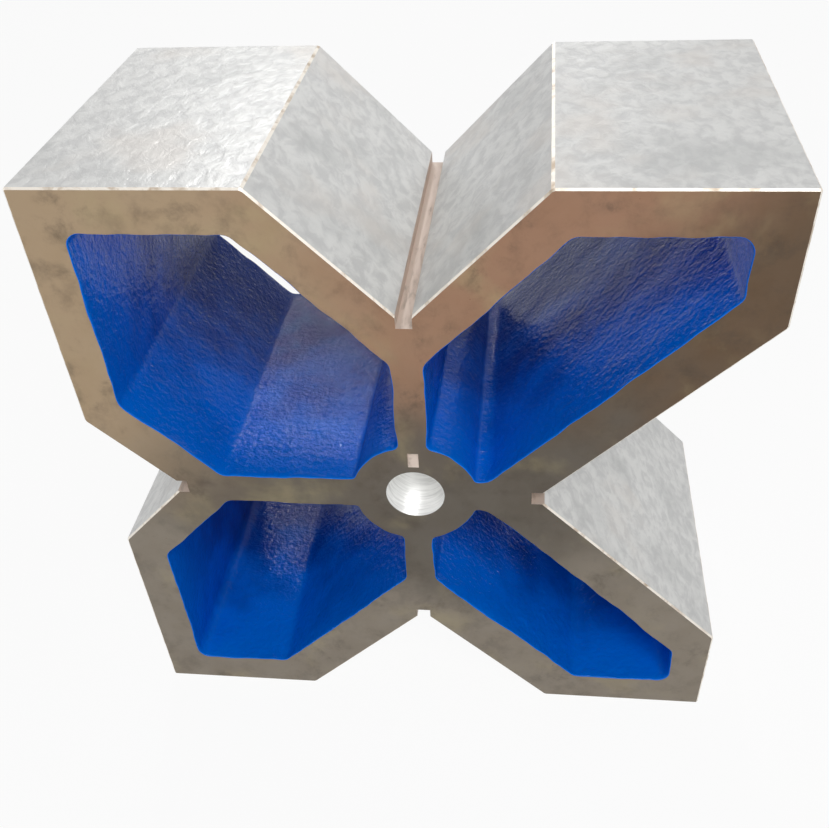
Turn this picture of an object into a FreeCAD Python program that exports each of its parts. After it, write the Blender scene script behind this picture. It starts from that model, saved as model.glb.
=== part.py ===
import FreeCAD, Part
import math
import os
import Sketcher

# Four-way V block: a single iron casting with a 90 degree groove in each of its four
# sides, each groove of its own size, for holding round work on end or on its side.
#
# Frame: +X to the right, +Z up, +Y from the front face to the back face. The origin is
# on the underside, in the middle of the block. Every groove and the lifting bore share
# one centre, half way up the block. Millimetres and degrees.
#
# The casting is cut in the order a pattern maker and a machinist would give it: the
# square blank, the four planed grooves with a relief slot at the foot of each, the four
# cored pockets with their draft and cast corner radii, the round hub, the bore, the
# index mark beside the bore, and the broken edges of the machined faces.

SIZES = [
    ("block_width", 300.0, "across the left and right lands"),
    ("block_height", 300.0, "across the bottom and top lands"),
    ("block_depth", 160.0, "from the front face to the back face"),
    ("groove_angle", 90.0, "between the two flanks of a groove, degrees"),
    ("right_opening", 187.0, "mouth of the right groove"),
    ("top_opening", 114.0, "mouth of the top groove"),
    ("left_opening", 76.0, "mouth of the left groove"),
    ("bottom_opening", 131.0, "mouth of the bottom groove"),
    ("relief_width", 7.0, "relief slot at the foot of each groove"),
    ("relief_drop", 2.5, "slot floor below the line where the flanks would meet"),
    ("rim_wall", 19.0, "wall behind each land"),
    ("right_wall", 22.0, "wall behind the flanks of the right groove"),
    ("top_wall", 19.5, "wall behind the flanks of the top groove"),
    ("left_wall", 20.5, "wall behind the flanks of the left groove"),
    ("bottom_wall", 24.0, "wall behind the flanks of the bottom groove"),
    ("upright_web", 14.5, "web above and below the hub"),
    ("level_web", 16.5, "web to the left and right of the hub"),
    ("pocket_corner", 6.0, "cast radius in the corners of a pocket"),
    ("pocket_draft", 1.0, "taper of a pocket towards the back face, degrees"),
    ("hub_radius", 29.0, "round hub where the webs cross"),
    ("hub_fillet", 2.5, "cast radius where the hub runs into the webs"),
    ("bore_radius", 13.7, "machined bore through the hub"),
    ("mark_width", 5.0, "index mark above the bore"),
    ("mark_height", 8.0, "index mark, from its foot to its top"),
    ("mark_depth", 2.5, "index mark, at its top"),
    ("mark_gap", 3.0, "from the bore to the foot of the index mark"),
    ("edge_break", 0.8, "chamfer on the machined edges"),
]

# Each side of the block, by the direction its groove opens in and the turn that
# carries the +X direction of a profile onto it.
SIDE_TURNS = {"right": 0.0, "top": 90.0, "left": 180.0, "bottom": 270.0}

# Each pocket lies between two neighbouring grooves, counted anticlockwise.
POCKETS = {
    "upper_right": ("right", "top"),
    "upper_left": ("top", "left"),
    "lower_left": ("left", "bottom"),
    "lower_right": ("bottom", "right"),
}

# The Sketcher's numbers for the points of a line or circle, then for its two axes.
START, END, CENTRE = range(1, 4)
X_AXIS, Y_AXIS = range(-1, -3, -1)
ORIGIN_POINT = (X_AXIS, START)

# Shapes this close, in millimetres, are the same.
NEAR = 1e-4


def add_sheet(doc):
    """The sheet of driving sizes, one named cell for each."""
    sheet = doc.addObject("Spreadsheet::Sheet", "Sizes")
    for row, (alias, number, note) in enumerate(SIZES, start=1):
        sheet.set(f"A{row}", alias.replace("_", " "))
        sheet.set(f"B{row}", str(number))
        sheet.set(f"C{row}", note)
        sheet.setAlias(f"B{row}", alias)
    doc.recompute()
    return sheet


def size(alias):
    """The number that a cell of the sheet holds."""
    return float(sheet.get(alias))


def half_span(side):
    """The cell that holds the block's size along a side's direction."""
    return "block_width" if side in ("left", "right") else "block_height"


def web_along(side):
    """The cell of the web that runs from the hub towards a side."""
    return "level_web" if side in ("left", "right") else "upright_web"


def apex_distance(side):
    """Expression for the distance from the centre to the line where the flanks meet."""
    half_mouth = f"Sizes.{side}_opening / 2"
    return f"Sizes.{half_span(side)} / 2 - {half_mouth} / tan(Sizes.groove_angle / 2)"


def apex_number(side):
    """The same distance as a number, for the first guess of a sketch."""
    half_angle = math.radians(size("groove_angle") / 2)
    return size(half_span(side)) / 2 - size(f"{side}_opening") / 2 / math.tan(half_angle)


def hub_centre():
    """The middle of the hub, half way between the front face and the back face."""
    return FreeCAD.Vector(0, 0, size("block_height") / 2)


def origin_plane(body, role):
    """One of the body's own origin planes, by its role."""
    return next(item for item in body.Origin.OriginFeatures if item.Role == role)


def add_sketch(body, name, role="XZ_Plane"):
    """A sketch on one of the body's origin planes."""
    sketch = body.newObject("Sketcher::SketchObject", name)
    sketch.AttachmentSupport = [(origin_plane(body, role), "")]
    sketch.MapMode = "FlatFace"
    return sketch


def centre_on_hub(sketch, turn):
    """Moves a sketch's origin to the hub and turns its +X direction to a side."""
    middle = FreeCAD.Vector(0, size("block_height") / 2, 0)
    upright = FreeCAD.Vector(0, 0, 1)
    sketch.AttachmentOffset = FreeCAD.Placement(middle, FreeCAD.Rotation(upright, turn))
    sketch.setExpression(".AttachmentOffset.Base.y", "Sizes.block_height / 2")


def add_loop(sketch, points):
    """Straight lines through the points and back to the first, joined end to start."""
    corners = [FreeCAD.Vector(x, y, 0) for x, y in points]
    lines = []
    for start, end in zip(corners, corners[1:] + corners[:1]):
        lines.append(sketch.addGeometry(Part.LineSegment(start, end), False))
    for line, following in zip(lines, lines[1:] + lines[:1]):
        sketch.addConstraint(Sketcher.Constraint("Coincident", line, END, following, START))
    return lines


def add_dimension(sketch, name, expression, *constraint):
    """A named dimension whose value follows an expression of the sheet."""
    index = sketch.addConstraint(Sketcher.Constraint(*constraint))
    sketch.renameConstraint(index, name)
    sketch.setExpression(f"Constraints.{name}", expression)


def add_gauge(sketch, name, line):
    """A named reference dimension that reads a line's length and drives nothing."""
    index = sketch.addConstraint(Sketcher.Constraint("Distance", line, size("rim_wall")))
    sketch.setDriving(index, False)
    sketch.renameConstraint(index, name)


def cut_through(body, sketch, name):
    """Cuts a sketch through the whole depth of the block, both ways from its plane."""
    pocket = body.newObject("PartDesign::Pocket", name)
    pocket.Profile = sketch
    pocket.Type = "ThroughAll"
    pocket.SideType = "Symmetric"
    sketch.Visibility = False
    return pocket


def add_blank(body):
    """The square blank, standing on its underside and centred on the origin."""
    sketch = add_sketch(body, "blank_profile")
    half = size("block_width") / 2
    top = size("block_height")
    base, right, roof, left = add_loop(sketch, [(-half, 0), (half, 0), (half, top), (-half, top)])
    for line in (base, roof):
        sketch.addConstraint(Sketcher.Constraint("Horizontal", line))
    for line in (right, left):
        sketch.addConstraint(Sketcher.Constraint("Vertical", line))
    sketch.addConstraint(Sketcher.Constraint("Symmetric", base, START, base, END, *ORIGIN_POINT))
    add_dimension(sketch, "width", "Sizes.block_width", "DistanceX", base, START, base, END, 2 * half)
    add_dimension(sketch, "height", "Sizes.block_height", "DistanceY", right, START, right, END, top)
    blank = body.newObject("PartDesign::Pad", "blank")
    blank.Profile = sketch
    blank.SideType = "Symmetric"
    blank.setExpression("Length", "Sizes.block_depth")
    sketch.Visibility = False
    return blank


def cut_groove(body, side):
    """A V groove with its relief slot. The profile opens towards +X from the hub."""
    sketch = add_sketch(body, f"{side}_groove_profile")
    centre_on_hub(sketch, SIDE_TURNS[side])
    reach = size(half_span(side)) / 2
    mouth = size(f"{side}_opening") / 2
    slot = size("relief_width") / 2
    apex = apex_number(side)
    foot = apex + slot / math.tan(math.radians(size("groove_angle") / 2))
    floor = apex - size("relief_drop")
    points = [(reach, -mouth), (reach, mouth), (foot, slot), (floor, slot), (floor, -slot), (foot, -slot)]
    opening, upper, slot_upper, slot_floor, slot_lower, lower = add_loop(sketch, points)
    for line in (opening, slot_floor):
        sketch.addConstraint(Sketcher.Constraint("Symmetric", line, START, line, END, X_AXIS))
    for line in (slot_upper, slot_lower):
        sketch.addConstraint(Sketcher.Constraint("Horizontal", line))
    sketch.addConstraint(Sketcher.Constraint("Equal", upper, lower))
    add_dimension(sketch, "reach", f"Sizes.{half_span(side)} / 2",
                  "DistanceX", *ORIGIN_POINT, opening, START, reach)
    add_dimension(sketch, "opening", f"Sizes.{side}_opening",
                  "DistanceY", opening, START, opening, END, 2 * mouth)
    add_dimension(sketch, "relief", "Sizes.relief_width",
                  "DistanceY", slot_floor, END, slot_floor, START, 2 * slot)
    add_dimension(sketch, "floor", f"{apex_distance(side)} - Sizes.relief_drop",
                  "DistanceX", *ORIGIN_POINT, slot_floor, START, floor)
    add_dimension(sketch, "flank", "-Sizes.groove_angle / 2",
                  "Angle", lower, -math.radians(size("groove_angle") / 2))
    return cut_through(body, sketch, f"{side}_groove")


def set_wall(sketch, side, flank, axis):
    """Holds a pocket's slanted side off the line where the groove's flanks would meet."""
    apex = apex_number(side)
    place = FreeCAD.Vector(apex, 0, 0) if axis == X_AXIS else FreeCAD.Vector(0, apex, 0)
    point = sketch.addGeometry(Part.Point(place), True)
    sketch.addConstraint(Sketcher.Constraint("PointOnObject", point, START, axis))
    add_dimension(sketch, f"{side}_apex", apex_distance(side),
                  "DistanceX" if axis == X_AXIS else "DistanceY",
                  *ORIGIN_POINT, point, START, apex)
    add_dimension(sketch, f"{side}_wall", f"Sizes.{side}_wall",
                  "Distance", point, START, flank, size(f"{side}_wall"))


def cut_pocket(body, corner):
    """A cored pocket between two grooves, six-sided, seen from the hub.

    Its sides follow the web towards the first groove, that groove's flank, the lands of
    both sides, the second groove's flank and the web towards the second groove.
    """
    first, second = POCKETS[corner]
    sketch = add_sketch(body, f"{corner}_pocket_profile")
    centre_on_hub(sketch, SIDE_TURNS[first])
    half_angle = math.radians(size("groove_angle") / 2)
    first_web = size(web_along(first)) / 2
    second_web = size(web_along(second)) / 2
    first_reach = size(half_span(first)) / 2 - size("rim_wall")
    second_reach = size(half_span(second)) / 2 - size("rim_wall")
    slope = math.tan(half_angle)
    first_foot = apex_number(first) - size(f"{first}_wall") / math.sin(half_angle)
    second_foot = apex_number(second) - size(f"{second}_wall") / math.sin(half_angle)
    points = [
        (second_web, first_web),
        (first_foot + first_web / slope, first_web),
        (first_reach, (first_reach - first_foot) * slope),
        (first_reach, second_reach),
        ((second_reach - second_foot) * slope, second_reach),
        (second_web, second_foot + second_web / slope),
    ]
    web_a, flank_a, rim_a, rim_b, flank_b, web_b = add_loop(sketch, points)
    for line in (web_a, rim_b):
        sketch.addConstraint(Sketcher.Constraint("Horizontal", line))
    for line in (rim_a, web_b):
        sketch.addConstraint(Sketcher.Constraint("Vertical", line))
    add_dimension(sketch, "first_web", f"Sizes.{web_along(first)} / 2",
                  "DistanceY", *ORIGIN_POINT, web_a, START, first_web)
    add_dimension(sketch, "second_web", f"Sizes.{web_along(second)} / 2",
                  "DistanceX", *ORIGIN_POINT, web_b, END, second_web)
    add_dimension(sketch, "first_rim", f"Sizes.{half_span(first)} / 2 - Sizes.rim_wall",
                  "DistanceX", *ORIGIN_POINT, rim_a, START, first_reach)
    add_dimension(sketch, "second_rim", f"Sizes.{half_span(second)} / 2 - Sizes.rim_wall",
                  "DistanceY", *ORIGIN_POINT, rim_b, END, second_reach)
    add_dimension(sketch, "first_slope", "Sizes.groove_angle / 2", "Angle", flank_a, half_angle)
    add_dimension(sketch, "second_slope", "-90 - Sizes.groove_angle / 2",
                  "Angle", flank_b, -math.pi / 2 - half_angle)
    set_wall(sketch, first, flank_a, X_AXIS)
    set_wall(sketch, second, flank_b, Y_AXIS)
    add_gauge(sketch, "first_rim_length", rim_a)
    add_gauge(sketch, "second_rim_length", rim_b)
    return cut_through(body, sketch, f"{corner}_pocket")


def spans_block(edge):
    """True for an edge that runs from the front face to the back face."""
    reach = edge.Vertexes[-1].Point.y - edge.Vertexes[0].Point.y
    return abs(abs(reach) - size("block_depth")) < NEAR


def edge_names(feature, wanted):
    """Names of the edges of a feature's shape that a test accepts."""
    edges = enumerate(feature.Shape.Edges, start=1)
    return [f"Edge{number}" for number, edge in edges if wanted(edge)]


def walls_through(feature, sketches):
    """Names of the faces that pass through the middles of the sketches' lines."""
    middles = [edge.CenterOfMass for sketch in sketches for edge in sketch.Shape.Edges]
    names = []
    for number, face in enumerate(feature.Shape.Faces, start=1):
        if any(face.distToShape(Part.Vertex(middle))[0] < NEAR for middle in middles):
            names.append(f"Face{number}")
    return names


def front_face(feature):
    """Name of the machined front face."""
    front = -size("block_depth") / 2
    for number, face in enumerate(feature.Shape.Faces, start=1):
        if abs(face.BoundBox.YMax - front) < NEAR:
            return f"Face{number}"
    raise ValueError("the block has no front face")


def starts_at(edge, points):
    """True for an edge with an end over one of the points, seen along the depth."""
    ends = [vertex.Point for vertex in edge.Vertexes]
    front = min(ends, key=lambda end: end.y)
    return any(math.hypot(front.x - point.x, front.z - point.z) < NEAR for point in points)


def draft_pockets(body, pocket, sketches):
    """Tapers the pockets' walls inwards from the front face to the back face."""
    draft = body.newObject("PartDesign::Draft", "pocket_taper")
    draft.Base = (pocket, walls_through(pocket, sketches))
    draft.NeutralPlane = (pocket, [front_face(pocket)])
    draft.Reversed = True
    draft.setExpression("Angle", "Sizes.pocket_draft")
    return draft


def shortest_rim(sketches):
    """Expression for the shortest outer side of a pocket where it is narrowest, at the back."""
    gauges = [f"{sketch.Name}.Constraints.{end}_rim_length"
              for sketch in sketches for end in ("first", "second")]
    narrowing = "1.5 * Sizes.block_depth * tan(Sizes.pocket_draft) * 1 mm"
    return f"min({'; '.join(gauges)}) - {narrowing}"


def round_pockets(body, draft, sketches):
    """Cast radii in the pockets' corners, no larger than their shortest side has room for.

    The corner towards the hub is left to the hub.
    """
    corners = []
    for sketch in sketches:
        points = [vertex.Point for vertex in sketch.Shape.Vertexes]
        points.remove(min(points, key=hub_centre().distanceToPoint))
        corners.extend(points)
    fillet = body.newObject("PartDesign::Fillet", "pocket_corners")
    found = edge_names(draft, lambda edge: spans_block(edge) and starts_at(edge, corners))
    fillet.Base = (draft, found)
    fillet.setExpression("Radius", f"min(Sizes.pocket_corner * 1 mm; 0.6 * ({shortest_rim(sketches)}))")
    return fillet


def add_circle(sketch, radius_cell):
    """A circle round the sketch's origin, with a radius from the sheet."""
    middle = FreeCAD.Vector(0, 0, 0)
    upright = FreeCAD.Vector(0, 0, 1)
    circle = sketch.addGeometry(Part.Circle(middle, upright, size(radius_cell)), False)
    sketch.addConstraint(Sketcher.Constraint("Coincident", circle, CENTRE, *ORIGIN_POINT))
    add_dimension(sketch, "radius", f"Sizes.{radius_cell}", "Radius", circle, size(radius_cell))


def add_hub(body):
    """The round hub where the webs cross, and the cast radii along its foot."""
    sketch = add_sketch(body, "hub_profile")
    centre_on_hub(sketch, 0)
    add_circle(sketch, "hub_radius")
    hub = body.newObject("PartDesign::Pad", "hub")
    hub.Profile = sketch
    hub.SideType = "Symmetric"
    hub.setExpression("Length", "Sizes.block_depth")
    sketch.Visibility = False
    doc.recompute()

    def on_hub(edge):
        ends = [vertex.Point - hub_centre() for vertex in edge.Vertexes]
        off = [abs(math.hypot(end.x, end.z) - size("hub_radius")) for end in ends]
        return spans_block(edge) and max(off) < NEAR

    fillet = body.newObject("PartDesign::Fillet", "hub_foot")
    fillet.Base = (hub, edge_names(hub, on_hub))
    fillet.setExpression("Radius", "Sizes.hub_fillet")
    return fillet


def cut_bore(body):
    """The machined bore through the hub, from face to face."""
    sketch = add_sketch(body, "bore_profile")
    centre_on_hub(sketch, 0)
    add_circle(sketch, "bore_radius")
    return cut_through(body, sketch, "bore")


def cut_index_mark(body):
    """A small chisel cut in the front face above the bore, deepest at its top."""
    sketch = add_sketch(body, "index_mark_profile", "YZ_Plane")
    front = -size("block_depth") / 2
    foot = size("block_height") / 2 + size("bore_radius") + size("mark_gap")
    top = foot + size("mark_height")
    points = [(front, foot), (front + size("mark_depth"), top), (front, top)]
    floor, ceiling, mouth = add_loop(sketch, points)
    sketch.addConstraint(Sketcher.Constraint("Horizontal", ceiling))
    sketch.addConstraint(Sketcher.Constraint("Vertical", mouth))
    add_dimension(sketch, "front", "-Sizes.block_depth / 2",
                  "DistanceX", *ORIGIN_POINT, floor, START, front)
    add_dimension(sketch, "foot", "Sizes.block_height / 2 + Sizes.bore_radius + Sizes.mark_gap",
                  "DistanceY", *ORIGIN_POINT, floor, START, foot)
    add_dimension(sketch, "mark_height", "Sizes.mark_height",
                  "DistanceY", mouth, END, mouth, START, top - foot)
    add_dimension(sketch, "mark_depth", "Sizes.mark_depth",
                  "DistanceX", ceiling, END, ceiling, START, size("mark_depth"))
    mark = body.newObject("PartDesign::Pocket", "index_mark")
    mark.Profile = sketch
    mark.SideType = "Symmetric"
    mark.setExpression("Length", "Sizes.mark_width")
    sketch.Visibility = False
    return mark


def break_edges(body, last, blank_sketch, groove_sketches):
    """Chamfers the machined edges: the lands and flanks all round, not the relief slots."""
    half_depth = size("block_depth") / 2
    corners = [vertex.Point for vertex in blank_sketch.Shape.Vertexes]
    half_width = size("block_width") / 2
    for sketch in groove_sketches:
        for vertex in sketch.Shape.Vertexes:
            point = vertex.Point
            on_side = abs(abs(point.x) - half_width) < NEAR
            on_base_or_top = min(point.z, size("block_height") - point.z) < NEAR
            if on_side or on_base_or_top:
                corners.append(point)
    outlines = [edge for face in last.Shape.Faces for edge in face.OuterWire.Edges
                if abs(abs(face.CenterOfMass.y) - half_depth) < NEAR]

    def machined(edge):
        if spans_block(edge):
            return starts_at(edge, corners)
        on_outline = any(edge.isSame(other) for other in outlines)
        return on_outline and edge.Length > 2 * size("relief_width")

    chamfer = body.newObject("PartDesign::Chamfer", "broken_edges")
    chamfer.Base = (last, edge_names(last, machined))
    chamfer.setExpression("Size", "Sizes.edge_break")
    return chamfer


def build_block(doc):
    """The whole casting as one body."""
    body = doc.addObject("PartDesign::Body", "v_block")
    body.Label = "v_block"
    blank = add_blank(body)
    grooves = [cut_groove(body, side) for side in SIDE_TURNS]
    pockets = [cut_pocket(body, corner) for corner in POCKETS]
    doc.recompute()
    pocket_sketches = [pocket.Profile[0] for pocket in pockets]
    draft = draft_pockets(body, pockets[-1], pocket_sketches)
    doc.recompute()
    # The taper comes out whole on its second pass.
    draft.touch()
    doc.recompute()
    round_pockets(body, draft, pocket_sketches)
    add_hub(body)
    cut_bore(body)
    mark = cut_index_mark(body)
    doc.recompute()
    break_edges(body, mark, blank.Profile[0], [groove.Profile[0] for groove in grooves])
    body.Placement = FreeCAD.Placement()
    doc.recompute()
    return body


def check_model(doc, bodies):
    """Stops if a feature failed or a shape isn't one sound solid."""
    for item in doc.Objects:
        if "Invalid" in item.State or "Error" in item.State:
            raise RuntimeError(f"{item.Name} failed: {item.State}")
    for body in bodies:
        shape = body.Shape
        if shape.isNull() or not shape.isValid() or len(shape.Solids) != 1:
            raise RuntimeError(f"{body.Label} isn't one sound solid")


doc = FreeCAD.newDocument("v_block")
sheet = add_sheet(doc)
bodies = [build_block(doc)]
check_model(doc, bodies)
os.makedirs("parts", exist_ok=True)
for body in bodies:
    body.Shape.exportStep(f"parts/{body.Label}.step")
    print(body.Label, f"{body.Shape.Volume / 1e6:.4f} litres", body.Shape.BoundBox)
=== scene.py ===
import logging
import math
from dataclasses import dataclass
from enum import Enum

import bmesh
import bpy
from mathutils import Matrix, Vector, noise
from mathutils.geometry import delaunay_2d_cdt


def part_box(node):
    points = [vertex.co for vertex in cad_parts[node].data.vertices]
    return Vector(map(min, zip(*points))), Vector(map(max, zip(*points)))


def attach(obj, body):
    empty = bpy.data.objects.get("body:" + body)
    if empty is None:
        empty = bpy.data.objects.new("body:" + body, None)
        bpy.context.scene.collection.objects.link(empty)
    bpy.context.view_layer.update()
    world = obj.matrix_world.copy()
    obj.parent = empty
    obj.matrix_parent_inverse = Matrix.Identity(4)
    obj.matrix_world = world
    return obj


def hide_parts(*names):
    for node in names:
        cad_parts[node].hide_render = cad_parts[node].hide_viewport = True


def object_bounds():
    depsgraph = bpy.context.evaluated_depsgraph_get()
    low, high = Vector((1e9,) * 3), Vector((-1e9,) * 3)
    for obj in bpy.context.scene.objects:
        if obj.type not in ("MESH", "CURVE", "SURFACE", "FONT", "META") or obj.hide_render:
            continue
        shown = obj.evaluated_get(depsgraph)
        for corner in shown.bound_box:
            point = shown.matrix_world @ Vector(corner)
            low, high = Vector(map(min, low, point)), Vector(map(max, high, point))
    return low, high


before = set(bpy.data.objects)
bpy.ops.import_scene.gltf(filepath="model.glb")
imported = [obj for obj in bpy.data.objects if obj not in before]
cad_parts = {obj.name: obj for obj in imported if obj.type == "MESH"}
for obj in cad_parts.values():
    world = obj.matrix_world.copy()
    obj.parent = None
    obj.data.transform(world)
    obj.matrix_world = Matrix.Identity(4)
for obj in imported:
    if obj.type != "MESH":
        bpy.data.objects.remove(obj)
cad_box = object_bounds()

log = logging.getLogger("v_block")

MM = 0.001
NODE = "v_block"

Colour = tuple[float, float, float, float]
Socket = bpy.types.NodeSocket

# Sockets of a Mix node that blends colours. Their names aren't unique, so they go by place.
MIX_FACTOR, MIX_FIRST, MIX_SECOND, MIX_RESULT = 0, 6, 7, 2

# The range that nearly all of Blender's soft noise lies in.
USUAL_NOISE = (0.3, 0.7)

# Asks the triangulation for the triangles inside the outer ring, and how near is the same point.
INSIDE_ONLY = 1
SAME_POINT = 1e-8

# Two lines whose cross product is below this are parallel.
NEARLY_PARALLEL = 1e-12

LITRES = 1000


def tone(code: str) -> Colour:
    """A colour for a shader from its written form.

    Args:
        code: Six hexadecimal digits, two each for red, green and blue.

    Returns:
        The same colour in linear light, opaque.
    """
    steps = [int(code[place:place + 2], 16) / 255 for place in (0, 2, 4)]
    linear = [step / 12.92 if step <= 0.04045 else ((step + 0.055) / 1.055) ** 2.4 for step in steps]
    return (*linear, 1.0)


class Side(Enum):
    """A side of the block, by the turn in degrees that carries +X onto it."""

    RIGHT = 0
    TOP = 90
    LEFT = 180
    BOTTOM = 270


class Skin(Enum):
    """The finish that a face of the casting has, by its material slot."""

    PLANED = 0
    SCRAPED = 1
    RELIEF = 2
    BROKEN_EDGE = 3
    PAINT = 4
    BORED = 5


# --------------------------------------------------------------------------- finishes


class Graph:
    """The nodes of one material, with short ways to add the ones that the finishes share."""

    def __init__(self, name: str) -> None:
        """Starts a material that holds one Principled shader.

        Args:
            name: The material's name.
        """
        self.material = bpy.data.materials.new(name)
        self.material.use_nodes = True
        self.tree = self.material.node_tree
        self.tree.nodes.clear()
        output = self.tree.nodes.new("ShaderNodeOutputMaterial")
        self.shader = self.tree.nodes.new("ShaderNodeBsdfPrincipled")
        self.tree.links.new(self.shader.outputs["BSDF"], output.inputs["Surface"])
        self.place = self.tree.nodes.new("ShaderNodeTexCoord").outputs["Object"]

    def feed(self, socket: Socket, value: Socket | float | Colour) -> None:
        """Links a socket to another one, or writes a constant on it.

        Args:
            socket: The input to fill.
            value: The output to link, or the constant.
        """
        if isinstance(value, bpy.types.NodeSocket):
            self.tree.links.new(value, socket)
        else:
            socket.default_value = value

    def set(self, name: str, value: Socket | float | Colour) -> None:
        """Fills one input of the Principled shader."""
        self.feed(self.shader.inputs[name], value)

    def stretch(self, scale: tuple[float, float, float],
                turn: tuple[float, float, float] = (0, 0, 0)) -> Socket:
        """The object's own coordinates, turned and scaled, for a grain that runs one way.

        Args:
            scale: Factor along each axis after the turn.
            turn: Turn about each axis, in degrees.

        Returns:
            The scaled coordinates.
        """
        node = self.tree.nodes.new("ShaderNodeMapping")
        self.feed(node.inputs["Vector"], self.place)
        node.inputs["Rotation"].default_value = [math.radians(angle) for angle in turn]
        node.inputs["Scale"].default_value = scale
        return node.outputs["Vector"]

    def clouds(self, grain: float, detail: float = 4, warp: float = 0, rough: float = 0.55,
               place: Socket | None = None) -> Socket:
        """Soft noise between 0 and 1.

        Args:
            grain: Size of one cloud, in metres.
            detail: Octaves of finer noise on top.
            warp: How far the noise distorts itself.
            rough: Weight of the finer octaves.
            place: Coordinates to use in place of the object's own.

        Returns:
            The noise.
        """
        node = self.tree.nodes.new("ShaderNodeTexNoise")
        self.feed(node.inputs["Vector"], place or self.place)
        node.inputs["Scale"].default_value = 1 / grain
        node.inputs["Detail"].default_value = detail
        node.inputs["Distortion"].default_value = warp
        node.inputs["Roughness"].default_value = rough
        return node.outputs["Fac"]

    def span(self, value: Socket, low: float, high: float, to_low: float = 0, to_high: float = 1) -> Socket:
        """A smooth step from one level to another.

        Args:
            value: What is stepped.
            low: The value that gives to_low.
            high: The value that gives to_high.
            to_low: Result at and below low.
            to_high: Result at and above high.

        Returns:
            The stepped value.
        """
        node = self.tree.nodes.new("ShaderNodeMapRange")
        node.interpolation_type = "SMOOTHSTEP"
        self.feed(node.inputs["Value"], value)
        for name, number in zip(("From Min", "From Max", "To Min", "To Max"), (low, high, to_low, to_high)):
            node.inputs[name].default_value = number
        return node.outputs["Result"]

    def spread(self, value: Socket, to_low: float, to_high: float) -> Socket:
        """Soft noise stretched between two levels."""
        return self.span(value, *USUAL_NOISE, to_low, to_high)

    def math(self, operation: str, first: Socket | float, second: Socket | float = 0.0) -> Socket:
        """One sum, product or other operation on two values."""
        node = self.tree.nodes.new("ShaderNodeMath")
        node.operation = operation
        self.feed(node.inputs[0], first)
        self.feed(node.inputs[1], second)
        return node.outputs[0]

    def mix(self, amount: Socket | float, first: Socket | Colour, second: Socket | Colour) -> Socket:
        """Two colours blended.

        Args:
            amount: 0 for the first, 1 for the second.
            first: The colour underneath.
            second: The colour on top.

        Returns:
            The blended colour.
        """
        node = self.tree.nodes.new("ShaderNodeMix")
        node.data_type = "RGBA"
        self.feed(node.inputs[MIX_FACTOR], amount)
        self.feed(node.inputs[MIX_FIRST], first)
        self.feed(node.inputs[MIX_SECOND], second)
        return node.outputs[MIX_RESULT]

    def bump(self, height: Socket, depth: float, strength: float = 1, normal: Socket | None = None) -> Socket:
        """A relief on the surface.

        Args:
            height: The relief, 0 to 1.
            depth: Height of the relief at 1, in metres.
            strength: How much of it shows.
            normal: A coarser relief that this one lies on.

        Returns:
            The bumped normal.
        """
        node = self.tree.nodes.new("ShaderNodeBump")
        node.inputs["Strength"].default_value = strength
        node.inputs["Distance"].default_value = depth
        self.feed(node.inputs["Height"], height)
        if normal:
            self.feed(node.inputs["Normal"], normal)
        return node.outputs["Normal"]

    def axes(self) -> list[Socket]:
        """The three coordinates of a point, in metres."""
        node = self.tree.nodes.new("ShaderNodeSeparateXYZ")
        self.feed(node.inputs[0], self.place)
        return list(node.outputs)


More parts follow.
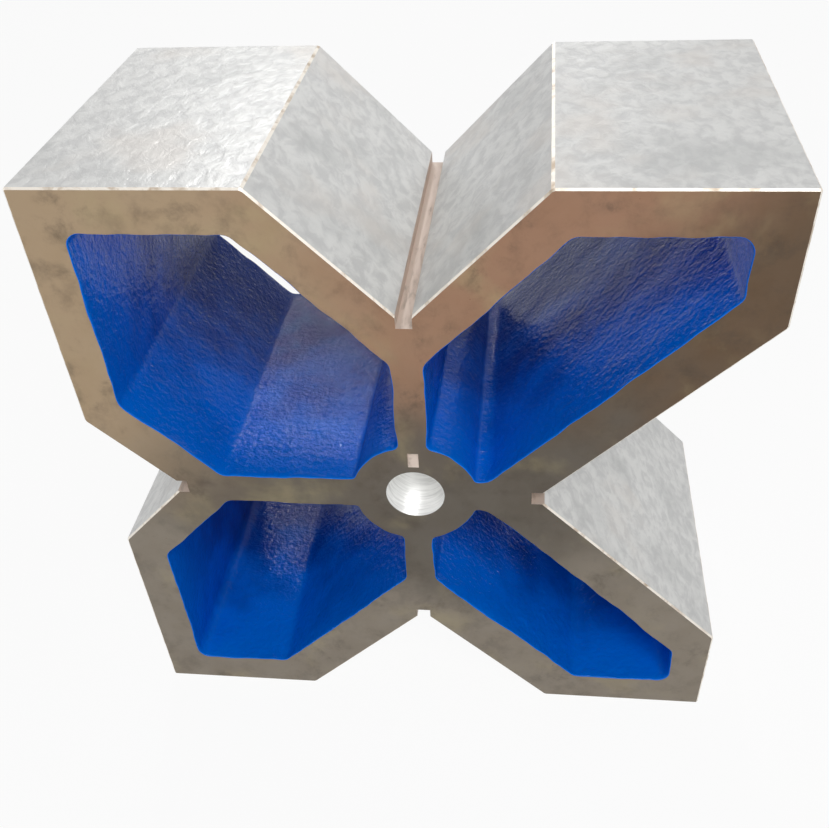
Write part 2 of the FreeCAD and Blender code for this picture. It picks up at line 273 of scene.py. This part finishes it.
@dataclass(frozen=True)
class PlanedFace:
    """Planed iron under a film of old oil and rust: tan, brown, olive and grey by turns, with painted shade
    in umber on the right.
    """

    name: str = "planed_face"
    tan: Colour = tone("B29A7C")
    brown: Colour = tone("A07A60")
    shade_umber: Colour = tone("5E4A34")
    hub_grey: Colour = tone("5E574D")
    taupe: Colour = tone("8C8274")
    stain: Colour = tone("4A3E31")
    pale: Colour = tone("B9AB80")
    rust: Colour = tone("74402A")
    grime: Colour = tone("3A3128")
    metallic: float = 0.2
    roughness: tuple[float, float] = (0.45, 0.68)
    hub_height: float = 150 * MM
    wander: float = 22 * MM

    def ground(self, graph: Graph) -> Socket:
        """The broad drift of colour: tan at the upper left, painted shade in umber to the right, grey at the
        hub.

        Args:
            graph: The material's nodes.

        Returns:
            The colour.
        """
        x, _, z = graph.axes()
        drift = graph.spread(graph.clouds(60 * MM, 3), -self.wander, self.wander)
        x, z = graph.math("ADD", x, drift), graph.math("ADD", z, drift)
        upper = graph.mix(graph.span(x, -110 * MM, 40 * MM), self.tan, self.brown)
        # Painted shade: umber darkens the right and lower right of the upper arms.
        shade_line = graph.math("SUBTRACT", x, graph.math("MULTIPLY", z, 0.9))
        upper = graph.mix(graph.span(shade_line, -185 * MM, -105 * MM, 0, 0.95), upper, self.shade_umber)
        colour = graph.mix(graph.span(z, 120 * MM, 175 * MM), self.taupe, upper)
        along = graph.math("MULTIPLY", x, 0.5)
        above = graph.math("SUBTRACT", z, self.hub_height)
        reach = graph.math("SQRT", graph.math("ADD", graph.math("MULTIPLY", along, along),
                                              graph.math("MULTIPLY", above, above)))
        return graph.mix(graph.span(reach, 90 * MM, 30 * MM, 0, 0.92), colour, self.hub_grey)

    def dress(self) -> bpy.types.Material:
        """Builds the material.

        Returns:
            The finished material.
        """
        graph = Graph(self.name)
        colour = self.ground(graph)
        pale = graph.span(graph.clouds(40 * MM, 5, 0.3), 0.5, 0.75, 0, 0.35)
        colour = graph.mix(pale, colour, self.pale)
        stain = graph.span(graph.clouds(24 * MM, 8, 0.25, 0.7), 0.54, 0.72, 0, 0.5)
        colour = graph.mix(stain, colour, self.stain)
        rust = graph.span(graph.clouds(3.2 * MM, 3), 0.70, 0.78, 0, 0.6)
        colour = graph.mix(rust, colour, self.rust)
        smear = graph.clouds(12 * MM, 7, 0.2, 0.65)
        colour = graph.mix(graph.span(smear, 0.45, 0.75, 0, 0.3), colour, self.grime)
        graph.set("Base Color", colour)
        graph.set("Metallic", self.metallic)
        graph.set("Roughness", graph.spread(graph.clouds(14 * MM, 6), *self.roughness))
        lines = graph.clouds(1.1 * MM, 3, 0, 0.6, graph.stretch((0.08, 1, 1)))
        relief = graph.bump(lines, 0.04 * MM, 0.25)
        graph.set("Normal", graph.bump(graph.clouds(2.2 * MM, 5), 0.10 * MM, 0.4, relief))
        return graph.material


@dataclass(frozen=True)
class ScrapedGround:
    """Hand-scraped bearing faces: bright iron, mottled where the scraper lifted it."""

    name: str = "scraped_ground"
    bright: Colour = tone("E4E4E2")
    grey: Colour = tone("D0D0CF")
    warm: Colour = tone("DED7D0")
    dull: Colour = tone("BDBEBD")
    metallic: float = 0.35
    roughness: tuple[float, float] = (0.30, 0.44)
    scraper_turn: float = 35

    def dress(self) -> bpy.types.Material:
        """Builds the material.

        Returns:
            The finished material.
        """
        graph = Graph(self.name)
        strokes = graph.stretch((1, 0.7, 1), (0, 0, self.scraper_turn))
        mottle = graph.clouds(6 * MM, 5, 0.4, 0.6, strokes)
        colour = graph.mix(graph.span(mottle, 0.36, 0.62), self.grey, self.bright)
        dull = graph.span(graph.clouds(38 * MM, 4, 0.2), 0.45, 0.75, 0, 0.6)
        colour = graph.mix(dull, colour, self.dull)
        warm = graph.span(graph.clouds(55 * MM, 3), 0.52, 0.7, 0, 0.5)
        colour = graph.mix(warm, colour, self.warm)
        graph.set("Base Color", colour)
        graph.set("Metallic", self.metallic)
        graph.set("Roughness", graph.spread(graph.clouds(6 * MM, 5, 0.4), *self.roughness))
        relief = graph.bump(mottle, 0.8 * MM, 0.5)
        graph.set("Normal", graph.bump(graph.clouds(1.8 * MM, 4), 0.08 * MM, 0.35, relief))
        return graph.material


@dataclass(frozen=True)
class ReliefSlot:
    """The sawn slot at the foot of each groove: dull, a little pink with old oil."""

    name: str = "relief_slot"
    pink: Colour = tone("D6C6BA")
    dirt: Colour = tone("7F7468")
    metallic: float = 0.25
    roughness: tuple[float, float] = (0.45, 0.65)

    def dress(self) -> bpy.types.Material:
        """Builds the material.

        Returns:
            The finished material.
        """
        graph = Graph(self.name)
        streaks = graph.clouds(4 * MM, 5, 0.4, 0.6, graph.stretch((1, 0.2, 1)))
        graph.set("Base Color", graph.mix(graph.span(streaks, 0.5, 0.75, 0, 0.7), self.pink, self.dirt))
        graph.set("Metallic", self.metallic)
        graph.set("Roughness", graph.spread(streaks, *self.roughness))
        graph.set("Normal", graph.bump(streaks, 0.1 * MM, 0.6))
        return graph.material


@dataclass(frozen=True)
class BrokenEdge:
    """The stoned edges between the faces: bright metal with some brown left in it."""

    name: str = "broken_edge"
    bright: Colour = tone("F4EDE2")
    worn: Colour = tone("A89278")
    metallic: float = 0.6
    roughness: tuple[float, float] = (0.28, 0.5)

    def dress(self) -> bpy.types.Material:
        """Builds the material.

        Returns:
            The finished material.
        """
        graph = Graph(self.name)
        wear = graph.clouds(9 * MM, 5, 0.5)
        graph.set("Base Color", graph.mix(graph.span(wear, 0.45, 0.7, 0, 0.8), self.bright, self.worn))
        graph.set("Metallic", self.metallic)
        graph.set("Roughness", graph.spread(wear, *self.roughness))
        graph.set("Normal", graph.bump(graph.clouds(1.5 * MM, 3), 0.06 * MM, 0.5))
        return graph.material


@dataclass(frozen=True)
class PocketPaint:
    """Thick glossy blue paint over the rough sand-cast walls, with painted shade that darkens it to navy
    towards the back.
    """

    name: str = "pocket_paint"
    blue: Colour = tone("0078EA")
    # Painted shade: the navy that the blue fades to towards the back of the pockets.
    deep: Colour = tone("003C96")
    shade_from: float = -75 * MM
    full_shade_from: float = 60 * MM
    wander: float = 25 * MM
    roughness: tuple[float, float] = (0.10, 0.20)
    gloss_index: float = 1.22

    def dress(self) -> bpy.types.Material:
        """Builds the material.

        Returns:
            The finished material.
        """
        graph = Graph(self.name)
        _, y, _ = graph.axes()
        drift = graph.spread(graph.clouds(30 * MM, 4), -self.wander, self.wander)
        inwards = graph.math("ADD", y, drift)
        # Painted shade: the paint darkens from blue to navy with depth into the pockets.
        colour = graph.mix(graph.span(inwards, self.shade_from, self.full_shade_from), self.blue, self.deep)
        graph.set("Base Color", colour)
        graph.set("Roughness", graph.spread(graph.clouds(5 * MM, 4), *self.roughness))
        graph.set("IOR", self.gloss_index)
        relief = graph.bump(graph.clouds(2.8 * MM, 3, 0.2, 0.5), 0.6 * MM)
        graph.set("Normal", graph.bump(graph.clouds(1.2 * MM, 2), 0.15 * MM, 1, relief))
        return graph.material


@dataclass(frozen=True)
class BoredHole:
    """The machined bore: bright, with fine turned lines round it."""

    name: str = "bored_hole"
    bright: Colour = tone("FAFAF8")
    grey: Colour = tone("DCDCDA")
    metallic: float = 0.3
    roughness: tuple[float, float] = (0.3, 0.4)

    def dress(self) -> bpy.types.Material:
        """Builds the material.

        Returns:
            The finished material.
        """
        graph = Graph(self.name)
        rings = graph.clouds(1.4 * MM, 4, 0, 0.6, graph.stretch((0.1, 1, 0.1)))
        graph.set("Base Color", graph.mix(graph.span(rings, 0.35, 0.7), self.bright, self.grey))
        graph.set("Metallic", self.metallic)
        graph.set("Roughness", graph.spread(rings, *self.roughness))
        graph.set("Normal", graph.bump(rings, 0.02 * MM, 0.2))
        return graph.material


# The finish that each skin is dressed in.
FINISHES = {
    Skin.PLANED: PlanedFace(),
    Skin.SCRAPED: ScrapedGround(),
    Skin.RELIEF: ReliefSlot(),
    Skin.BROKEN_EDGE: BrokenEdge(),
    Skin.PAINT: PocketPaint(),
    Skin.BORED: BoredHole(),
}


# --------------------------------------------------------------------------- outlines


@dataclass(frozen=True)
class Arc:
    """A stretch of a circle. Its angles are in radians."""

    centre: Vector
    radius: float
    start: float
    end: float

    @property
    def first(self) -> Vector:
        """The point that the arc starts at."""
        return self.at(self.start)

    @property
    def last(self) -> Vector:
        """The point that the arc ends at."""
        return self.at(self.end)

    @property
    def length(self) -> float:
        """The distance along the arc."""
        return abs(self.end - self.start) * self.radius

    def at(self, angle: float) -> Vector:
        """The point of the circle at an angle."""
        return self.centre + self.radius * Vector((math.cos(angle), math.sin(angle)))

    def points(self, steps: int) -> list[Vector]:
        """Points along the arc, both ends included.

        Args:
            steps: Number of pieces that the arc is cut into.

        Returns:
            One more point than there are pieces.
        """
        return [self.at(self.start + (self.end - self.start) * step / steps) for step in range(steps + 1)]


@dataclass(frozen=True)
class Ripple:
    """Unevenness of one grain, as the moulding sand leaves it."""

    grain: float
    height: float
    offset: tuple[float, float, float] = (0, 0, 0)

    def at(self, point: Vector) -> float:
        """How far the surface stands out at a point, in metres."""
        return noise.noise(point / self.grain + Vector(self.offset)) * self.height


def inset(points: list[Vector], widths: list[float]) -> list[Vector]:
    """An anticlockwise outline with each of its lines moved inwards.

    Args:
        points: The outline's corners.
        widths: How far each line moves, from the line that starts at the first corner.

    Returns:
        The corners of the smaller outline.
    """
    moved = []
    for start, end, width in zip(points, points[1:] + points[:1], widths):
        inward = (end - start).normalized().orthogonal() * width
        moved.append((start + inward, end + inward))
    return [crossing(*moved[place - 1], *moved[place]) for place in range(len(points))]


def crossing(start_a: Vector, end_a: Vector, start_b: Vector, end_b: Vector) -> Vector:
    """Where two lines cross, however far they have to be drawn out.

    Args:
        start_a: A point on the first line.
        end_a: Another point on it.
        start_b: A point on the second line.
        end_b: Another point on it.

    Returns:
        The crossing.
    """
    along_a, along_b = end_a - start_a, end_b - start_b
    across = along_a.x * along_b.y - along_a.y * along_b.x
    if abs(across) < NEARLY_PARALLEL:
        return start_b.copy()
    gap = start_b - start_a
    return start_a + along_a * ((gap.x * along_b.y - gap.y * along_b.x) / across)


@dataclass(frozen=True)
class Groove:
    """One of the four V grooves, with the iron wall behind its flanks."""

    side: Side
    opening: float
    wall: float

    def apex(self, reach: float) -> float:
        """Distance from the hub's centre to the line where the flanks would meet."""
        return reach - self.opening / 2


@dataclass(frozen=True)
class Pocket:
    """A cored pocket between two neighbouring grooves, counted anticlockwise."""

    first: Groove
    second: Groove
    first_web: float
    second_web: float
    reach: float
    rim_wall: float = 19 * MM
    corner: float = 6 * MM
    draft: float = math.tan(math.radians(1))
    hub: float = 29 * MM
    hub_foot: float = 2.5 * MM
    grain: float = 2 * MM
    bend_grain: float = 1.5 * MM
    least_cuts: int = 3
    merge: float = 0.05 * MM

    def corners(self, shrink: float) -> list[Vector]:
        """The sharp corners in the pocket's own frame, from the web of the first groove on.

        Args:
            shrink: How far the draft has moved each wall inwards.

        Returns:
            Six corners, anticlockwise. The one towards the hub comes first.
        """
        slant = math.sqrt(2)
        first_foot = self.first.apex(self.reach) - (self.first.wall + shrink) * slant
        second_foot = self.second.apex(self.reach) - (self.second.wall + shrink) * slant
        first_web = self.first_web / 2 + shrink
        second_web = self.second_web / 2 + shrink
        rim = self.reach - self.rim_wall - shrink
        return [
            Vector((second_web, first_web)),
            Vector((first_foot + first_web, first_web)),
            Vector((rim, rim - first_foot)),
            Vector((rim, rim)),
            Vector((rim - second_foot, rim)),
            Vector((second_web, second_foot + second_web)),
        ]

    def foot(self, across: float, web: float) -> float:
        """How far along a web the fillet between it and the hub is centred."""
        return math.sqrt(across ** 2 - (web + self.hub_foot) ** 2)

    def bends(self, shrink: float) -> list[Arc]:
        """The arcs of the rounded outline, in order. Straight lines join them.

        Args:
            shrink: How far the draft has moved each wall inwards.

        Returns:
            The fillet, hub and fillet, then the five cast corners.
        """
        first_web = self.first_web / 2 + shrink
        second_web = self.second_web / 2 + shrink
        across = self.hub + self.hub_foot
        foot_a = Vector((self.foot(across, first_web), first_web + self.hub_foot))
        foot_b = Vector((second_web + self.hub_foot, self.foot(across, second_web)))
        angle_a = math.atan2(foot_a.y, foot_a.x)
        angle_b = math.atan2(foot_b.y, foot_b.x)
        arcs = [
            Arc(foot_b, self.hub_foot, math.pi, angle_b + math.pi),
            Arc(Vector((0, 0)), self.hub, angle_b, angle_a),
            Arc(foot_a, self.hub_foot, angle_a + math.pi, 1.5 * math.pi),
        ]
        points = self.corners(shrink)
        for before, here, after in zip(points, points[1:], points[2:] + points[:1]):
            into, out = (here - before).normalized(), (after - here).normalized()
            turn = abs(into.angle_signed(out))
            left = Vector((-into.y, into.x))
            start = here - into * self.corner * math.tan(turn / 2)
            angle = math.atan2(-left.y, -left.x)
            arcs.append(Arc(start + left * self.corner, self.corner, angle, angle + turn))
        return arcs

    def loop(self, depth: float) -> list[Vector]:
        """The outline at a depth, with the same number of points at every depth.

        Args:
            depth: Distance behind the front face.

        Returns:
            Points about one grain apart, anticlockwise, in the hub's frame.
        """
        arcs, model = self.bends(depth * self.draft), self.bends(0)
        points: list[Vector] = []
        for place, (bend, plain) in enumerate(zip(arcs, model)):
            after = (place + 1) % len(arcs)
            points.extend(bend.points(max(self.least_cuts, round(plain.length / self.bend_grain))))
            cuts = round((model[after].first - plain.last).length / self.grain)
            head, tail = points[-1], arcs[after].first
            points.extend(head.lerp(tail, cut / cuts) for cut in range(1, cuts))
        kept = [point for point, last in zip(points, points[-1:] + points[:-1])
                if (point - last).length > self.merge]
        turn = Matrix.Rotation(math.radians(self.first.side.value), 2)
        return [turn @ point for point in kept]


# --------------------------------------------------------------------------- the casting


@dataclass
class Casting:
    """The block itself: its outline, grooves, cored pockets, hub, bore and index mark."""

    low: Vector
    high: Vector
    level_web: float = 16.5 * MM
    upright_web: float = 14.5 * MM
    relief_width: float = 7 * MM
    relief_drop: float = 2.5 * MM
    edge_break: float = 0.8 * MM
    bore_radius: float = 13.7 * MM
    mark_width: float = 5 * MM
    mark_height: float = 8 * MM
    mark_depth: float = 2.5 * MM
    mark_gap: float = 3 * MM
    rim_round: float = 0.4 * MM
    rim_rows: tuple[float, float] = (0.5 * MM, 1.1 * MM)
    rim_fade: float = 3.5 * MM
    row: float = 2 * MM
    bore_steps: int = 96
    swell: tuple[Ripple, ...] = (
        Ripple(46 * MM, 0.55 * MM),
        Ripple(15 * MM, 0.28 * MM, (7, 3, 1)),
        Ripple(6 * MM, 0.14 * MM, (2, 9, 5)),
    )
    waver: tuple[Ripple, ...] = (
        Ripple(21 * MM, 0.9 * MM, (4, 4, 4)),
        Ripple(7 * MM, 0.45 * MM, (1, 6, 2)),
    )

    def __post_init__(self) -> None:
        """Works out the grooves and pockets from the box."""
        self.reach = (self.high.x - self.low.x) / 2
        self.centre = (self.high.z + self.low.z) / 2
        self.depth = self.high.y - self.low.y
        self.grooves = {
            Side.RIGHT: Groove(Side.RIGHT, 187 * MM, 22 * MM),
            Side.TOP: Groove(Side.TOP, 114 * MM, 19.5 * MM),
            Side.LEFT: Groove(Side.LEFT, 76 * MM, 20.5 * MM),
            Side.BOTTOM: Groove(Side.BOTTOM, 131 * MM, 24 * MM),
        }
        webs = {Side.RIGHT: self.level_web, Side.LEFT: self.level_web,
                Side.TOP: self.upright_web, Side.BOTTOM: self.upright_web}
        sides = list(Side)
        self.pockets = [
            Pocket(self.grooves[first], self.grooves[second], webs[first], webs[second], self.reach)
            for first, second in zip(sides, sides[1:] + sides[:1])
        ]
        self.mesh = bmesh.new()

    def at(self, point: Vector, depth: float) -> Vector:
        """A point of a flat outline, placed at a depth behind the front face."""
        return Vector((point.x, self.low.y + depth, self.centre + point.y))

    def outline(self) -> tuple[list[Vector], list[Skin]]:
        """The block's outline from the front, with its long edges broken.

        Returns:
            The corners, anticlockwise, and the skin of the surface behind each line.
        """
        slot = self.relief_width / 2
        raw: list[tuple[Vector, bool, Skin]] = []
        for groove in self.grooves.values():
            apex = groove.apex(self.reach)
            mouth = groove.opening / 2
            turn = Matrix.Rotation(math.radians(groove.side.value), 2)
            profile = [
                ((self.reach, -self.reach), True, Skin.SCRAPED),
                ((self.reach, -mouth), True, Skin.SCRAPED),
                ((apex + slot, -slot), False, Skin.RELIEF),
                ((apex - self.relief_drop, -slot), False, Skin.RELIEF),
                ((apex - self.relief_drop, slot), False, Skin.RELIEF),
                ((apex + slot, slot), False, Skin.SCRAPED),
                ((self.reach, mouth), True, Skin.SCRAPED),
            ]
            raw.extend((turn @ Vector(point), broken, skin) for point, broken, skin in profile)
        points, skins = [], []
        for place, (point, broken, skin) in enumerate(raw):
            if broken:
                before = raw[place - 1][0]
                after = raw[(place + 1) % len(raw)][0]
                points.append(point + (before - point).normalized() * self.edge_break)
                skins.append(Skin.BROKEN_EDGE)
                points.append(point + (after - point).normalized() * self.edge_break)
            else:
                points.append(point)
            skins.append(skin)
        return points, skins

    def ring(self, points: list[Vector], depth: float) -> list[bmesh.types.BMVert]:
        """New vertices along an outline at a depth."""
        return [self.mesh.verts.new(self.at(point, depth)) for point in points]

    def wall(self, near: list, far: list, skins: list[Skin], outwards: bool, smooth: bool) -> None:
        """Joins two rings with one quad for each of their lines.

        Args:
            near: The ring nearer to the front.
            far: The ring nearer to the back.
            skins: The skin behind each line.
            outwards: True where the surface looks out of the rings.
            smooth: True for a curved surface.
        """
        count = len(near)
        for place, skin in enumerate(skins):
            following = (place + 1) % count
            quad = [near[place], far[place], far[following], near[following]]
            face = self.mesh.faces.new(quad if outwards else quad[::-1])
            face.material_index = skin.value
            face.smooth = smooth

    def plate(self, rings: list[list], forwards: bool) -> None:
        """Fills a flat face between its outer ring and the rings of its holes.

        Args:
            rings: The outer ring, then the holes.
            forwards: True for the front face.
        """
        verts = [vert for ring in rings for vert in ring]
        regions, start = [], 0
        for ring in rings:
            regions.append(list(range(start, start + len(ring))))
            start += len(ring)
        flat = [Vector((vert.co.x, vert.co.z)) for vert in verts]
        _, _, faces, sources, _, inside = delaunay_2d_cdt(flat, [], regions, INSIDE_ONLY, SAME_POINT)
        for corners, owners in zip(faces, inside):
            if owners != [0]:
                continue
            a, b, c = (sources[corner][0] for corner in corners)
            anticlockwise = (flat[b] - flat[a]).cross(flat[c] - flat[a]) > 0
            order = (a, b, c) if anticlockwise == forwards else (a, c, b)
            face = self.mesh.faces.new([verts[corner] for corner in order])
            face.material_index = Skin.PLANED.value

    def unevenness(self, spot: Vector, edge: float) -> float:
        """How far a pocket's wall stands in from its true form.

        Args:
            spot: The place on the wall.
            edge: Its distance from the nearer face of the block.

        Returns:
            The cast wall's swell, with the wandering and the rounding of the rim near a face.
        """
        swell = sum(ripple.at(spot) for ripple in self.swell)
        waver = sum(ripple.at(spot) for ripple in self.waver) * math.exp(-edge / self.rim_fade)
        rounding = self.rim_round * max(0.0, 1 - edge / self.rim_rows[0])
        return swell + waver - rounding

    def add_pocket(self, pocket: Pocket) -> tuple[list, list]:
        """One pocket's wall, from rim to rim.

        Args:
            pocket: The pocket.

        Returns:
            Its rings in the front face and in the back face.
        """
        rows = round(self.depth / self.row)
        depths = [self.depth * place / rows for place in range(rows + 1)]
        depths[1:1] = self.rim_rows
        depths[-1:-1] = [self.depth - row for row in reversed(self.rim_rows)]
        rings = []
        for depth in depths:
            loop = pocket.loop(depth)
            edge = min(depth, self.depth - depth)
            ring = []
            for place, point in enumerate(loop):
                along = loop[(place + 1) % len(loop)] - loop[place - 1]
                inwards = Vector((-along.y, along.x)).normalized()
                shift = self.unevenness(self.at(point, depth), edge)
                ring.append(self.mesh.verts.new(self.at(point + inwards * shift, depth)))
            rings.append(ring)
        for near, far in zip(rings, rings[1:]):
            self.wall(near, far, [Skin.PAINT] * len(near), False, True)
        return rings[0], rings[-1]

    def add_bore(self) -> tuple[list, list]:
        """The bore's wall, from face to face.

        Returns:
            Its rings in the front face and in the back face.
        """
        circle = Arc(Vector((0, 0)), self.bore_radius, 0, 2 * math.pi).points(self.bore_steps)[:-1]
        near, far = self.ring(circle, 0), self.ring(circle, self.depth)
        self.wall(near, far, [Skin.BORED] * len(circle), False, True)
        return near, far

    def add_mark(self) -> list:
        """The index mark: a chisel cut above the bore, deepest at its top.

        Returns:
            Its ring in the front face.
        """
        half = self.mark_width / 2
        foot = self.bore_radius + self.mark_gap
        top = foot + self.mark_height
        corners = ((-half, foot), (half, foot), (half, top), (-half, top))
        ring = self.ring([Vector(corner) for corner in corners], 0)
        deep = self.ring([Vector((-half, top)), Vector((half, top))], self.mark_depth)
        left_foot, right_foot, right_top, left_top = ring
        left_deep, right_deep = deep
        sides = [
            (left_foot, right_foot, right_deep, left_deep),
            (left_top, left_deep, right_deep, right_top),
            (left_foot, left_deep, left_top),
            (right_foot, right_top, right_deep),
        ]
        for side in sides:
            face = self.mesh.faces.new(side)
            face.material_index = Skin.RELIEF.value
        return ring

    def build(self) -> bpy.types.Object:
        """Makes the casting.

        Returns:
            The finished piece, riding on the root body in place of the plain solid.
        """
        points, skins = self.outline()
        widths = [0.0 if skin is Skin.RELIEF else self.edge_break for skin in skins]
        inner = inset(points, widths)
        front, shoulder = self.ring(inner, 0), self.ring(points, self.edge_break)
        heel, back = self.ring(points, self.depth - self.edge_break), self.ring(inner, self.depth)
        strip = [skin if skin is Skin.RELIEF else Skin.BROKEN_EDGE for skin in skins]
        self.wall(front, shoulder, strip, True, False)
        self.wall(shoulder, heel, skins, True, False)
        self.wall(heel, back, strip, True, False)
        front_rings, back_rings = [front], [back]
        for pocket in self.pockets:
            near, far = self.add_pocket(pocket)
            front_rings.append(near)
            back_rings.append(far)
        near, far = self.add_bore()
        front_rings.extend([near, self.add_mark()])
        back_rings.append(far)
        self.plate(front_rings, True)
        self.plate(back_rings, False)
        return self.finish()

    def finish(self) -> bpy.types.Object:
        """Turns the mesh into a piece, dresses it and puts it on the frame.

        Returns:
            The piece.
        """
        mesh = bpy.data.meshes.new("casting")
        loose = sum(1 for edge in self.mesh.edges if not edge.is_manifold)
        log.info("casting: %d open edges, %.4f litres", loose, self.mesh.calc_volume(signed=True) * LITRES)
        self.mesh.to_mesh(mesh)
        self.mesh.free()
        piece = bpy.data.objects.new("casting", mesh)
        bpy.context.collection.objects.link(piece)
        for skin in Skin:
            mesh.materials.append(FINISHES[skin].dress())
        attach(piece, "root")
        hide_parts(NODE)
        return piece


# --------------------------------------------------------------------------- the studio


@dataclass(frozen=True)
class Lamp:
    """A soft rectangular lamp that faces the hub."""

    name: str
    place: tuple[float, float, float]
    size: float
    power: float

    def hang(self, target: Vector) -> None:
        """Adds the lamp to the scene.

        Args:
            target: The point that it faces.
        """
        data = bpy.data.lights.new(self.name, "AREA")
        data.size = self.size
        data.energy = self.power
        lamp = bpy.data.objects.new(self.name, data)
        lamp.location = self.place
        lamp.rotation_euler = (target - lamp.location).to_track_quat("-Z", "Y").to_euler()
        bpy.context.collection.objects.link(lamp)


@dataclass(frozen=True)
class Studio:
    """A pale floor, a white surround and soft lamps."""

    floor_size: float = 12.0
    floor_gap: float = 0.2 * MM
    surround: float = 0.06
    floor_white: Colour = (0.86, 0.86, 0.86, 1.0)
    floor_lift: float = 0.93
    lamps: tuple[Lamp, ...] = (
        Lamp("key", (0.35, -1.2, 1.4), 0.9, 13.0),
        Lamp("window", (1.0, 0.2, 1.5), 0.9, 5.0),
        Lamp("back_light", (-0.42, 1.47, 1.44), 0.14, 5.0),
        Lamp("front_fill", (0.0, -2.2, 0.5), 0.8, 8.0),
        Lamp("rear_fill", (0.0, 2.2, 0.4), 0.8, 3.0),
        Lamp("left_fill", (-2.4, 0.0, 0.4), 0.8, 2.0),
    )

    def background(self, tree: bpy.types.NodeTree) -> Socket:
        """1 for the rays that show the background: seen, mirrored or through glass.

        Args:
            tree: The node tree to add to.

        Returns:
            The largest of the three answers.
        """
        rays = tree.nodes.new("ShaderNodeLightPath")
        answer = rays.outputs["Is Camera Ray"]
        for name in ("Is Glossy Ray", "Is Transmission Ray"):
            either = tree.nodes.new("ShaderNodeMath")
            either.operation = "MAXIMUM"
            tree.links.new(answer, either.inputs[0])
            tree.links.new(rays.outputs[name], either.inputs[1])
            answer = either.outputs[0]
        return answer

    def floor_material(self) -> bpy.types.Material:
        """Matt and pale, lifted towards white for the rays that show the background."""
        material = bpy.data.materials.new("floor")
        material.use_nodes = True
        tree = material.node_tree
        tree.nodes.clear()
        matt = tree.nodes.new("ShaderNodeBsdfDiffuse")
        matt.inputs["Color"].default_value = self.floor_white
        glow = tree.nodes.new("ShaderNodeEmission")
        glow.inputs["Strength"].default_value = 1.0
        lift = tree.nodes.new("ShaderNodeMath")
        lift.operation = "MULTIPLY"
        tree.links.new(self.background(tree), lift.inputs[0])
        lift.inputs[1].default_value = self.floor_lift
        mix = tree.nodes.new("ShaderNodeMixShader")
        for source, socket in zip((lift, matt, glow), mix.inputs):
            tree.links.new(source.outputs[0], socket)
        output = tree.nodes.new("ShaderNodeOutputMaterial")
        tree.links.new(mix.outputs[0], output.inputs["Surface"])
        return material

    def add_floor(self) -> None:
        """A broad pale floor that keeps the block's shadow."""
        mesh = bmesh.new()
        bmesh.ops.create_grid(mesh, x_segments=4, y_segments=4, size=self.floor_size / 2)
        data = bpy.data.meshes.new("floor")
        mesh.to_mesh(data)
        mesh.free()
        floor = bpy.data.objects.new("floor", data)
        floor.location.z = cad_box[0][2] - self.floor_gap
        bpy.context.collection.objects.link(floor)
        data.materials.append(self.floor_material())

    def add_surround(self) -> None:
        """A world that is white to look at and dimmer as a light."""
        world = bpy.data.worlds.new("surround")
        world.use_nodes = True
        tree = world.node_tree
        shade = tree.nodes["Background"]
        shade.inputs["Color"].default_value = (1, 1, 1, 1)
        level = tree.nodes.new("ShaderNodeMapRange")
        tree.links.new(self.background(tree), level.inputs["Value"])
        level.inputs["To Min"].default_value = self.surround
        level.inputs["To Max"].default_value = 1.0
        tree.links.new(level.outputs["Result"], shade.inputs["Strength"])
        bpy.context.scene.world = world

    def build(self, target: Vector) -> None:
        """Sets up the floor, the surround and the lamps.

        Args:
            target: The point that the lamps face.
        """
        self.add_floor()
        self.add_surround()
        for lamp in self.lamps:
            lamp.hang(target)
        bpy.context.scene.view_settings.view_transform = "Standard"
        log.info("studio: %d lamps", len(self.lamps))


@dataclass(frozen=True)
class Viewpoint:
    """The camera, a little to the right of the block and looking down at its front."""

    place: tuple[float, float, float] = (0.05093, -0.40668, 0.45131)
    right: tuple[float, float, float] = (0.99402, 0.09975, -0.04447)
    back: tuple[float, float, float] = (0.10372, -0.73449, 0.67065)
    lens: float = 41.632
    shift: tuple[float, float] = (-0.0130, 0.0917)

    def build(self) -> None:
        """Adds the camera and makes it the scene's own."""
        data = bpy.data.cameras.new("camera")
        data.sensor_width = 36.0
        data.lens = self.lens
        data.shift_x, data.shift_y = self.shift
        data.clip_start = 0.01
        camera = bpy.data.objects.new("camera", data)
        right, back = Vector(self.right).normalized(), Vector(self.back).normalized()
        turn = Matrix((right, back.cross(right), back)).transposed().to_4x4()
        camera.matrix_world = Matrix.Translation(self.place) @ turn
        bpy.context.collection.objects.link(camera)
        bpy.context.scene.camera = camera
        log.info("camera: lens %.1f mm", self.lens)


def main() -> None:
    """Builds the block, the studio and the camera."""
    low, high = (Vector(corner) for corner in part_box(NODE))
    Viewpoint().build()
    Studio().build((low + high) / 2)
    piece = Casting(low, high).build()
    log.info("%s: %d faces", piece.name, len(piece.data.polygons))


if __name__ == "__main__":
    logging.basicConfig(level=logging.INFO, format="%(name)s: %(message)s")
    main()
